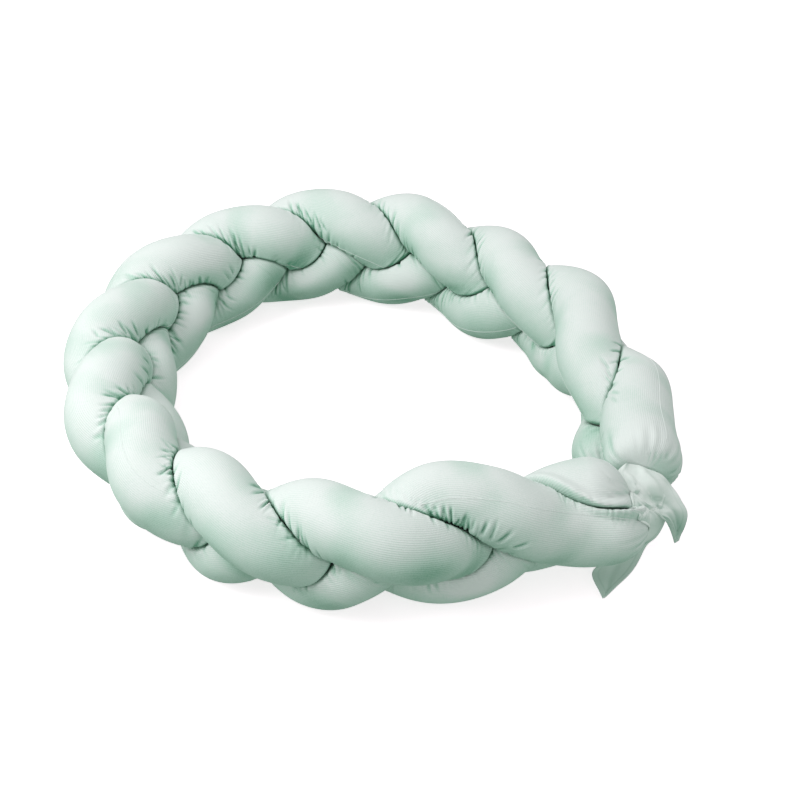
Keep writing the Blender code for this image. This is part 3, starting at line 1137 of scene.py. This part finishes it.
# ------------------------------------------------------------------------- what follows a path, by nodes
class PathTree:
    """A Geometry Nodes tree with named inputs, kept by name so that they can be set by identifier."""

    def __init__(self, name: str) -> None:
        """Makes the tree with its geometry in and out.

        Args:
            name: the tree's name.
        """
        self.tree = bpy.data.node_groups.new(name, "GeometryNodeTree")
        self.tree.interface.new_socket("Geometry", in_out="OUTPUT", socket_type="NodeSocketGeometry")
        self.identifiers: dict[str, str] = {}
        self.tree.interface.new_socket("Geometry", in_out="INPUT", socket_type="NodeSocketGeometry")
        self.entry = self.tree.nodes.new("NodeGroupInput")
        self.exit = self.tree.nodes.new("NodeGroupOutput")

    def size(self, name: str, kind: str = "NodeSocketFloat") -> bpy.types.NodeSocket:
        """Adds a named input and hands back its socket in the tree.

        Args:
            name: the input's name.
            kind: its socket's type.

        Returns:
            The socket.
        """
        made = self.tree.interface.new_socket(name, in_out="INPUT", socket_type=kind)
        self.identifiers[name] = made.identifier
        return self.entry.outputs[name]

    def add(self, kind: str, settings: dict | None = None, inputs: dict | None = None) -> bpy.types.Node:
        """Adds a node with its settings, and its sockets' values or links.

        Args:
            kind: the node's type.
            settings: its properties, which are set first.
            inputs: its sockets' values or links, by name.

        Returns:
            The node.
        """
        made = self.tree.nodes.new(kind)
        for name, value in (settings or {}).items():
            setattr(made, name, value)
        for name, value in (inputs or {}).items():
            if isinstance(value, bpy.types.NodeSocket):
                self.tree.links.new(value, made.inputs[name])
            else:
                made.inputs[name].default_value = value
        return made

    def even_path(self, pitch: bpy.types.NodeSocket) -> bpy.types.NodeSocket:
        """The path as a curve with a point at each step of the pitch.

        Args:
            pitch: the step, in metres.

        Returns:
            The curve's socket.
        """
        curve = self.add("GeometryNodeMeshToCurve", None, {"Mesh": self.entry.outputs["Geometry"]})
        inputs = {"Curve": curve.outputs[0], "Length": pitch}
        return self.add("GeometryNodeResampleCurve", {"mode": "LENGTH"}, inputs).outputs[0]

    def end(self, geometry: bpy.types.NodeSocket, material: bpy.types.NodeSocket) -> None:
        """Ends the tree in Realize Instances and Set Material.

        Args:
            geometry: what the tree has made.
            material: what that is made of.
        """
        real = self.add("GeometryNodeRealizeInstances", None, {"Geometry": geometry})
        inputs = {"Geometry": real.outputs[0], "Material": material}
        dressed = self.add("GeometryNodeSetMaterial", None, inputs)
        self.tree.links.new(dressed.outputs[0], self.exit.inputs[0])

    def run(self, name: str, path: np.ndarray, sizes: dict) -> bpy.types.Object:
        """Runs the tree on a path and hands back a plain mesh piece.

        Args:
            name: the piece's name.
            path: the places that it follows.
            sizes: the values of the tree's named inputs.

        Returns:
            The piece.
        """
        guide = bpy.data.meshes.new(name + "_path")
        guide.from_pydata(path.tolist(), [(k, k + 1) for k in range(len(path) - 1)], [])
        carrier = placed(name + "_carrier", guide)
        modifier = carrier.modifiers.new("path", "NODES")
        modifier.node_group = self.tree
        for size, value in sizes.items():
            modifier[self.identifiers[size]] = value
        depsgraph = bpy.context.evaluated_depsgraph_get()
        mesh = bpy.data.meshes.new_from_object(carrier.evaluated_get(depsgraph), depsgraph=depsgraph)
        bpy.data.objects.remove(carrier, do_unlink=True)
        mesh.name = name
        mesh.shade_smooth()
        return placed(name, mesh)


class StitchTree(PathTree):
    """A row of short stitches along a path."""

    def __init__(self) -> None:
        """Builds the tree."""
        super().__init__("stitch_row")
        pitch = self.size("Pitch")
        length = self.size("Length")
        thick = self.size("Thickness")
        material = self.size("Thread", "NodeSocketMaterial")
        bead = self.add("GeometryNodeMeshUVSphere", None, {"Segments": 6, "Rings": 5, "Radius": 0.5})
        shape = self.add("ShaderNodeCombineXYZ", None, {"X": thick, "Y": thick, "Z": length})
        tangent = self.add("GeometryNodeInputTangent")
        turned = self.add("FunctionNodeAlignRotationToVector", {"axis": "Z"}, {"Vector": tangent.outputs[0]})
        row = self.add("GeometryNodeInstanceOnPoints", None, {
            "Points": self.even_path(pitch), "Instance": bead.outputs["Mesh"],
            "Rotation": turned.outputs[0], "Scale": shape.outputs[0]})
        self.end(row.outputs[0], material)


class WeltTree(PathTree):
    """A thin raised seam along a path."""

    def __init__(self) -> None:
        """Builds the tree."""
        super().__init__("seam_welt")
        thick = self.size("Thickness")
        pitch = self.size("Pitch")
        material = self.size("Cloth", "NodeSocketMaterial")
        round_it = self.add("GeometryNodeCurvePrimitiveCircle", None, {"Resolution": 6, "Radius": thick})
        welt = self.add("GeometryNodeCurveToMesh", None, {
            "Curve": self.even_path(pitch), "Profile Curve": round_it.outputs[0], "Fill Caps": True})
        self.end(welt.outputs[0], material)


# ------------------------------------------------------------------------------------ the sub-assemblies
@dataclass
class PlaitedRing:
    """The three tubes, with the seam sewn along each. Its tables give the tubes in the plait's order."""

    plait: Plait = field(default_factory=Plait)
    seams: tuple = (
        # mm along the tube, and the seam's turn there in degrees from the ring's outside
        ((0, 205), (2400, 205)),
        ((0, 54), (36, 57), (73, 61), (143, 61), (186, 54), (231, 42), (258, 42), (276, 50), (420, 60),
         (2400, 60)),
        ((0, 215), (2400, 215)),
    )
    seam_thick: float = 0.45 * MM
    seam_pitch: float = 3.0 * MM
    seeds: tuple = (11, 23, 37)
    tucks: tuple = (
        # mm along and turn in degrees where each tuck starts, the same where it ends, mm deep, mm wide
        (   # tube_a
            (250, 15, 249, 352, 2.4, 2.2), (243, 22, 241, 356, 2.6, 2.2), (227, 30, 226, 11, 2.4, 2.2),
            (213, 34, 210, 19, 2.2, 2.4), (173, 60, 190, 26, 2.6, 3.2), (196, 49, 209, 15, 2.0, 3.4),
            (219, 30, 219, 19, 1.4, 1.8), (439, 60, 456, 49, 2.4, 2.0), (460, 82, 477, 82, 1.6, 2.4),
            (454, 75, 469, 75, 1.4, 2.2), (431, 49, 439, 41, 1.4, 2.0), (2168, 98, 2148, 101, 2.6, 2.4),
            (2180, 101, 2162, 105, 2.4, 2.2), (2188, 109, 2172, 112, 2.2, 2.4),
            (2194, 120, 2186, 120, 2.0, 2.2), (2199, 128, 2194, 131, 1.6, 2.0),
            (12, 49, 38, 79, 1.6, 2.0), (13, 45, 51, 79, 1.6, 2.4), (13, 34, 60, 68, 1.4, 2.4),
            (17, 30, 53, 49, 1.4, 2.0), (21, 26, 48, 38, 1.4, 2.0), (25, 60, 41, 90, 1.4, 2.0),
            (59, 41, 51, 34, 1.8, 2.0), (51, 38, 46, 30, 1.8, 1.8), (63, 49, 56, 45, 1.4, 2.0),
            (962, 101, 973, 90, 2.4, 2.2), (976, 131, 982, 112, 2.0, 2.2), (991, 150, 998, 124, 3.0, 2.4),
            (1008, 172, 1011, 142, 2.8, 2.2), (1027, 191, 1031, 172, 2.4, 2.0),
            (1047, 191, 1052, 172, 2.4, 2.0), (1089, 154, 1082, 135, 1.6, 2.2),
            (1470, 139, 1459, 101, 2.4, 2.2), (1488, 158, 1475, 128, 2.4, 2.2),
            (1507, 169, 1496, 142, 2.8, 2.2), (1518, 172, 1505, 154, 2.0, 2.0),
            (1271, 139, 1277, 161, 2.4, 2.2), (1271, 146, 1283, 184, 2.0, 2.0),
            (1282, 139, 1291, 161, 1.8, 2.0),
        ),
        (   # tube_b
            (256, 11, 248, 38, 3.2, 2.2), (246, 11, 242, 34, 1.5, 2.0), (237, 0, 229, 15, 2.4, 1.8),
            (230, 0, 224, 26, 2.8, 2.2), (216, 356, 216, 19, 1.6, 2.2), (203, 356, 202, 22, 3.0, 2.4),
            (192, 352, 194, 30, 2.4, 2.4), (180, 352, 176, 22, 3.0, 2.6), (162, 349, 156, 8, 2.2, 2.6),
            (264, 30, 256, 38, 2.0, 1.8), (275, 52, 268, 60, 1.8, 1.8), (276, 60, 272, 68, 1.5, 1.6),
            (270, 41, 262, 45, 1.2, 1.6), (657, 105, 676, 94, 2.8, 2.6), (652, 98, 667, 75, 2.4, 2.4),
            (643, 90, 654, 71, 2.4, 2.6), (670, 120, 689, 112, 2.6, 2.6), (682, 135, 698, 112, 2.2, 2.6),
            (695, 139, 713, 120, 1.8, 2.6), (635, 68, 643, 56, 1.6, 2.4), (630, 52, 638, 45, 1.2, 2.6),
            (435, 19, 432, 0, 2.8, 2.2), (422, 22, 422, 4, 2.8, 2.2), (430, 19, 427, 11, 1.6, 1.8),
            (416, 30, 414, 22, 1.8, 2.0), (384, 45, 391, 34, 1.8, 2.0), (378, 45, 384, 30, 1.8, 2.0),
            (402, 38, 400, 30, 1.4, 1.8), (2173, 112, 2211, 116, 2.0, 2.4),
            (2181, 135, 2237, 124, 1.6, 2.2), (2265, 142, 2275, 124, 1.8, 2.2),
            (2276, 142, 2289, 128, 1.4, 2.2), (51, 64, 46, 41, 1.3, 2.2), (41, 64, 48, 38, 1.6, 2.4),
            (34, 64, 43, 38, 1.7, 2.4), (25, 64, 36, 38, 1.6, 2.2), (15, 64, 29, 30, 1.5, 2.2),
            (58, 64, 58, 56, 1.4, 2.0), (2373, 82, 2368, 82, 2.2, 2.2), (2373, 68, 2368, 79, 2.4, 2.2),
            (2373, 52, 2368, 68, 2.0, 2.2), (2372, 98, 2368, 98, 1.4, 2.0),
            (2370, 45, 2366, 60, 1.4, 2.0), (1152, 120, 1158, 101, 2.4, 2.0),
            (1163, 139, 1168, 112, 2.8, 2.2), (1174, 158, 1171, 124, 2.6, 2.2),
            (1185, 169, 1182, 135, 3.0, 2.2), (1196, 176, 1195, 146, 2.6, 2.2),
            (1207, 180, 1214, 161, 2.2, 2.0), (1238, 195, 1234, 176, 2.4, 2.2),
            (1222, 191, 1222, 176, 1.6, 1.8), (1282, 176, 1269, 158, 2.4, 2.2),
            (1277, 188, 1260, 169, 2.0, 2.2), (1449, 161, 1452, 188, 2.2, 2.2),
            (1006, 101, 1001, 120, 2.0, 2.2), (984, 120, 985, 139, 2.0, 2.2),
        ),
        (   # tube_c
            (289, 68, 290, 56, 1.5, 2.0), (846, 131, 851, 101, 3.0, 2.6), (826, 109, 829, 82, 3.0, 2.6),
            (817, 98, 820, 79, 2.6, 2.4), (811, 86, 814, 71, 2.4, 2.4), (861, 158, 874, 142, 2.6, 2.4),
            (854, 146, 863, 131, 2.0, 2.4), (875, 165, 883, 154, 1.8, 2.0), (803, 75, 809, 60, 1.8, 3.2),
            (794, 56, 801, 41, 1.4, 3.2), (590, 26, 570, 22, 2.6, 2.4), (583, 34, 570, 26, 2.2, 2.0),
            (571, 38, 567, 26, 2.2, 2.2), (587, 19, 576, 15, 1.8, 2.0), (1316, 112, 1320, 94, 2.4, 2.2),
            (1323, 128, 1325, 109, 2.6, 2.0), (1340, 154, 1337, 128, 2.8, 2.2),
            (1349, 165, 1340, 139, 2.6, 2.2), (1366, 180, 1359, 158, 2.4, 2.2),
            (1385, 191, 1383, 172, 1.8, 2.0), (1494, 169, 1457, 154, 2.4, 2.2),
            (1488, 146, 1462, 139, 2.0, 2.2), (932, 165, 921, 142, 2.4, 2.2),
            (921, 176, 904, 146, 2.4, 2.2), (897, 169, 890, 142, 2.6, 2.4),
            (1139, 128, 1147, 154, 2.6, 2.2), (1207, 90, 1193, 112, 2.0, 2.0),
            (1194, 86, 1185, 112, 1.6, 2.0),
        ),
    )
    shade_spots: tuple = (
        # mm along and turn in degrees of the middle of each painted spot, mm wide, how much painted shade it
        # adds (below 0, painted light)
        (   # tube_a
            (443, 34, 26, 0.42), (218, 8, 28, -0.7), (998, 109, 22, 0.12), (985, 90, 16, 0.12),
            (41, 56, 22, -0.2), (1519, 131, 22, 0.14),
        ),
        (   # tube_b
            (126, 4, 26, -0.12), (1234, 150, 22, -0.4), (1761, 146, 20, -0.15), (395, 356, 24, -0.15),
            (2365, 120, 26, -0.35), (2368, 79, 22, -0.3), (1479, 150, 20, -0.35), (2040, 172, 20, -0.15),
            (1712, 116, 22, 0.14), (730, 86, 16, 0.1),
        ),
        (   # tube_c
            (306, 0, 24, 0.45), (1678, 165, 24, -0.45), (2287, 124, 24, 0.3), (1188, 139, 20, -0.3),
            (910, 71, 24, 0.22),
        ),
    )

    def build(self, velour: bpy.types.Material) -> list[bpy.types.Object]:
        """Builds and dresses the tubes and their seams.

        Args:
            velour: the tubes' material.

        Returns:
            The three tubes.
        """
        welt = WeltTree()
        tubes = []
        for tube, seam, *own in zip(self.plait.tubes, self.seams, self.seeds, self.tucks, self.shade_spots):
            stuffed = StuffedTube(tube, self.plait, *own)
            piece = stuffed.build()
            piece.data.materials.append(velour)
            sewn = welt.run(tube + "_seam", stuffed.seam_path(seam), {
                "Thickness": self.seam_thick, "Pitch": self.seam_pitch, "Cloth": velour})
            for made in (piece, sewn):
                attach(made, BODY)
                log.info("%s: %d faces", made.name, len(made.data.polygons))
            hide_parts(tube)
            tubes.append(piece)
        return tubes


@dataclass
class TieKnot:
    """The two cotton bands drawn together where the ends of the plait meet."""

    bands: tuple = (
        TieBand(
            "tie_front",
            sections=(
                (303, -272, 123, 310, -266, 117, 0),
                (298, -294, 130, 321, -276, 114, 2),
                (298, -304, 127, 333, -270, 100, 3),
                (306, -311, 121, 347, -250, 81, 3),
                (313, -312, 114, 359, -238, 65, 3),
                (323, -298, 87, 362, -240, 52, 2),
                (325, -278, 52, 351, -254, 37, 1),
                (308, -270, 24, 339, -262, 30, 2),
                (285, -277, 14, 331, -271, 18, 3),
                (271, -286, 7, 318, -288, 10, 2),
                (275, -307, 4, 300, -305, 6, 1),
                (279, -324, 3, 283, -322, 3, 0),
            ),
            folds=(
                (0.35, 0.02, 0.30, 0.30, 1.6, 3.0),
                (0.70, 0.05, 0.62, 0.35, -1.4, 3.0),
                (0.45, 0.60, 0.50, 0.95, 1.8, 6.0),
            ),
            clear=1.7 * MM,
            hanging_shade=0.5,
        ),
        TieBand(
            "tie_back",
            sections=(
                (306, -224, 127, 340, -216, 114, 0),
                (294, -238, 121, 355, -222, 105, -3),
                (305, -262, 118, 367, -222, 89, -4),
                (315, -268, 111, 374, -227, 82, 3),
                (329, -268, 97, 381, -232, 72, 5),
                (342, -264, 85, 388, -236, 60, 4),
                (354, -258, 70, 388, -240, 45, 3),
                (368, -248, 41, 385, -241, 29, 1),
                (380, -236, 8, 386, -233, 10, 0),
            ),
            folds=(
                (0.02, 0.00, 0.24, 0.13, -2.5, 3.0),
                (0.24, 0.13, 0.04, 0.27, -2.5, 3.0),
                (0.36, 0.14, 0.42, 0.46, 3.5, 5.0),
                (0.42, 0.46, 0.06, 0.62, 2.5, 4.0),
                (0.58, 0.06, 0.56, 0.30, -3.5, 5.0),
                (0.62, 0.42, 0.70, 0.80, 2.5, 5.0),
                (0.20, 0.62, 0.45, 0.95, -2.5, 4.0),
            ),
            clear=1.4 * MM,
            hanging_shade=0.3,
        ),
    )
    # the widest row of each band and the mean length of its run, as built
    flats: tuple = ((0.100, 0.222), (0.080, 0.150))
    stitch: tuple = (2.6 * MM, 1.9 * MM, 0.32 * MM)      # pitch, length and thickness

    def build(self, cotton: bpy.types.Material, thread: bpy.types.Material, tubes: list) -> None:
        """Args:
            cotton: the bands' material.
            thread: the stitches' material.
            tubes: the tubes that the bands lie on.
        """
        row = StitchTree()
        laid = list(tubes)
        pitch, length, thick = self.stitch
        for band, flat in zip(self.bands, self.flats):
            piece = band.build(skins_of(laid))
            piece.data.materials.append(cotton)
            laid.append(piece)
            stitches = row.run(band.name + "_hem_stitches", band.hem_line(), {
                "Pitch": pitch, "Length": length, "Thickness": thick, "Thread": thread})
            for made in (piece, stitches):
                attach(made, BODY)
                log.info("%s: %d faces", made.name, len(made.data.polygons))
            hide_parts(band.name)


def skins_of(made: list[bpy.types.Object]) -> BVHTree:
    """The skins of some pieces as one surface that can be searched for the nearest place.

    Args:
        made: the pieces.

    Returns:
        The surface.
    """
    corners, faces = [], []
    for piece in made:
        faces += [[corner + len(corners) for corner in face.vertices] for face in piece.data.polygons]
        corners += [vertex.co.copy() for vertex in piece.data.vertices]
    return BVHTree.FromPolygons(corners, faces)


# -------------------------------------------------------------------------------------------- the studio
@dataclass(frozen=True)
class Studio:
    """The floor, the soft light from above and the left, and the camera."""

    camera_place: tuple = (-0.0004, -1.3888, 1.1215)
    camera_turn: tuple = (52.375, -0.894, -1.186)    # degrees
    lens: float = 58.47
    floor_size: float = 12.0
    floor_drop: float = 0.2 * MM     # how far the floor lies below the part, clear of its flat underside
    key_place: tuple = (-1.3, -0.4, 1.45)
    key_size: float = 1.2
    key_power: float = 19.0
    sky_above: tuple = (0.640, 0.663, 0.652, 1.0)
    sky_below: tuple = (0.29, 0.375, 0.325, 1.0)
    sky_blend: float = 0.5           # how far above and below level its two colours blend

    def build(self) -> None:
        """Builds the stage, the lights and the camera."""
        bpy.ops.mesh.primitive_plane_add(size=self.floor_size, location=(0, 0, -self.floor_drop))
        floor = bpy.context.object
        floor.name = "floor"
        floor.data.materials.append(StudioFloor().build())
        floor.visible_diffuse = False
        key = bpy.data.lights.new("key", "AREA")
        key.size = self.key_size
        key.energy = self.key_power
        lamp = bpy.data.objects.new("key", key)
        lamp.location = self.key_place
        lamp.rotation_euler = (-Vector(self.key_place)).to_track_quat("-Z", "Y").to_euler()
        bpy.context.scene.collection.objects.link(lamp)
        self.sky()
        eye = bpy.data.cameras.new("camera")
        eye.lens = self.lens
        eye.sensor_width = 36.0
        camera = bpy.data.objects.new("camera", eye)
        camera.location = self.camera_place
        camera.rotation_euler = [math.radians(angle) for angle in self.camera_turn]
        bpy.context.scene.collection.objects.link(camera)
        bpy.context.scene.camera = camera
        bpy.context.scene.view_settings.view_transform = "Standard"

    def sky(self) -> None:
        """Lights the room evenly from above, and less from below."""
        world = bpy.data.worlds.new("studio")
        world.use_nodes = True
        tree = world.node_tree
        way = tree.nodes.new("ShaderNodeTexCoord")
        parts = tree.nodes.new("ShaderNodeSeparateXYZ")
        rise = tree.nodes.new("ShaderNodeMapRange")
        rise.interpolation_type = "SMOOTHSTEP"
        rise.inputs["From Min"].default_value = -self.sky_blend
        rise.inputs["From Max"].default_value = self.sky_blend
        mix = tree.nodes.new("ShaderNodeMix")
        mix.data_type = "RGBA"
        mix.inputs[6].default_value = self.sky_below
        mix.inputs[7].default_value = self.sky_above
        tree.links.new(way.outputs["Generated"], parts.inputs[0])
        tree.links.new(parts.outputs["Z"], rise.inputs["Value"])
        tree.links.new(rise.outputs[0], mix.inputs[0])
        tree.links.new(mix.outputs[2], tree.nodes["Background"].inputs["Color"])
        bpy.context.scene.world = world


def main() -> None:
    """Builds the bumper and its studio, and reports each piece."""
    logging.basicConfig(level=logging.INFO, format="%(name)s: %(message)s")
    Studio().build()
    tubes = PlaitedRing().build(Velour().build())
    TieKnot().build(Cotton().build(), Thread().build(), tubes)


if __name__ == "__main__":
    main()
